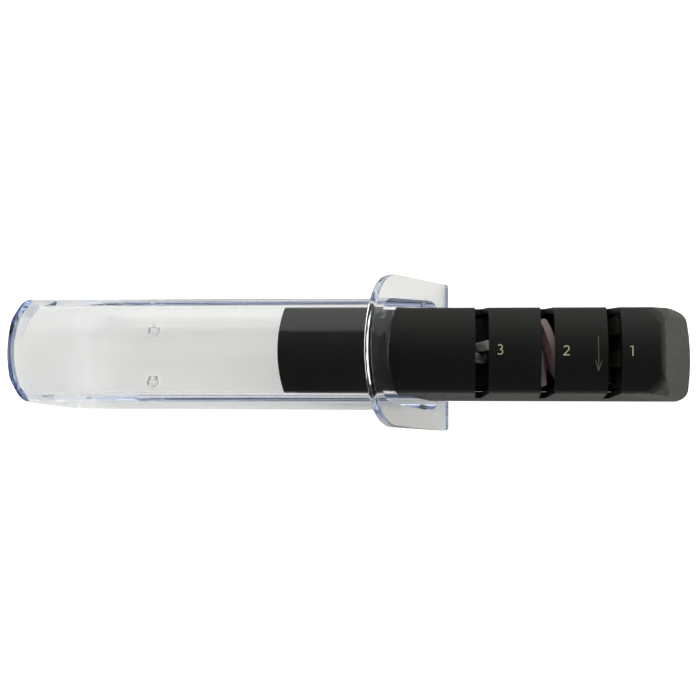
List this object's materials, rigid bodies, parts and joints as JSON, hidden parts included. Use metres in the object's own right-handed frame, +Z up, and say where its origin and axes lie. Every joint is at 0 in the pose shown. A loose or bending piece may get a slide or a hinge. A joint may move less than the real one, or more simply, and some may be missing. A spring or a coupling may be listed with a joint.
{
  "type": "retractable knife sharpener",
  "caption": "Kitchen knife sharpener with coarse, medium and fine slots in a black body that slides out of a clear case with a leaning guard flange.",
  "frame": {"origin": "centre of the bottom of the object's box, with the body pulled out and the case standing on its flange and rear feet", "axes": "+X along the slide towards the head, +Y to the left seen from the case's closed end, +Z up"},
  "size_m": [0.2644, 0.0598, 0.0487],
  "materials": {
    "clear_plastic": "clear polished styrene",
    "clear_rubber": "clear satin",
    "black_plastic": "fine satin grain",
    "holder_plastic": "matte",
    "bush_plastic": "satin",
    "pink_ceramic": "matte fused ceramic",
    "white_ceramic": "satin fused ceramic",
    "coated_steel": "abrasive grit coating",
    "steel": "satin"
  },
  "bodies": {
    "case": {"clear_case": "clear_plastic", "rear_feet": "clear_rubber", "stop_pin": "steel"},
    "sharpener": {"top_cover": "black_plastic", "bottom_cover": "black_plastic", "cover_screws": "steel", "holder_screws": "steel", "detent_springs": "steel", "stage_1_holder": "holder_plastic", "coarse_plate_left": "coated_steel", "coarse_plate_right": "coated_steel", "stage_2_yoke": "holder_plastic", "wheel_axle": "steel", "axle_clips": "steel", "stage_3_holder": "holder_plastic", "fine_rod_left": "white_ceramic", "fine_rod_right": "white_ceramic"},
    "wheels": {"wheel_left": "pink_ceramic", "wheel_right": "pink_ceramic", "wheel_bush": "bush_plastic", "wheel_washers": "steel"}
  },
  "joints": [
    {"name": "body_slide", "type": "slide", "parent": "case", "child": "sharpener", "axis": [1, 0, 0], "range_m": [-0.0938, 0], "deforming": ["detent_springs"]},
    {"name": "wheel_spin", "type": "hinge", "parent": "sharpener", "child": "wheels", "pos_m": [0.07245, 0, 0.021], "axis": [0.9563, 0.2924, 0], "continuous": true}
  ]
}
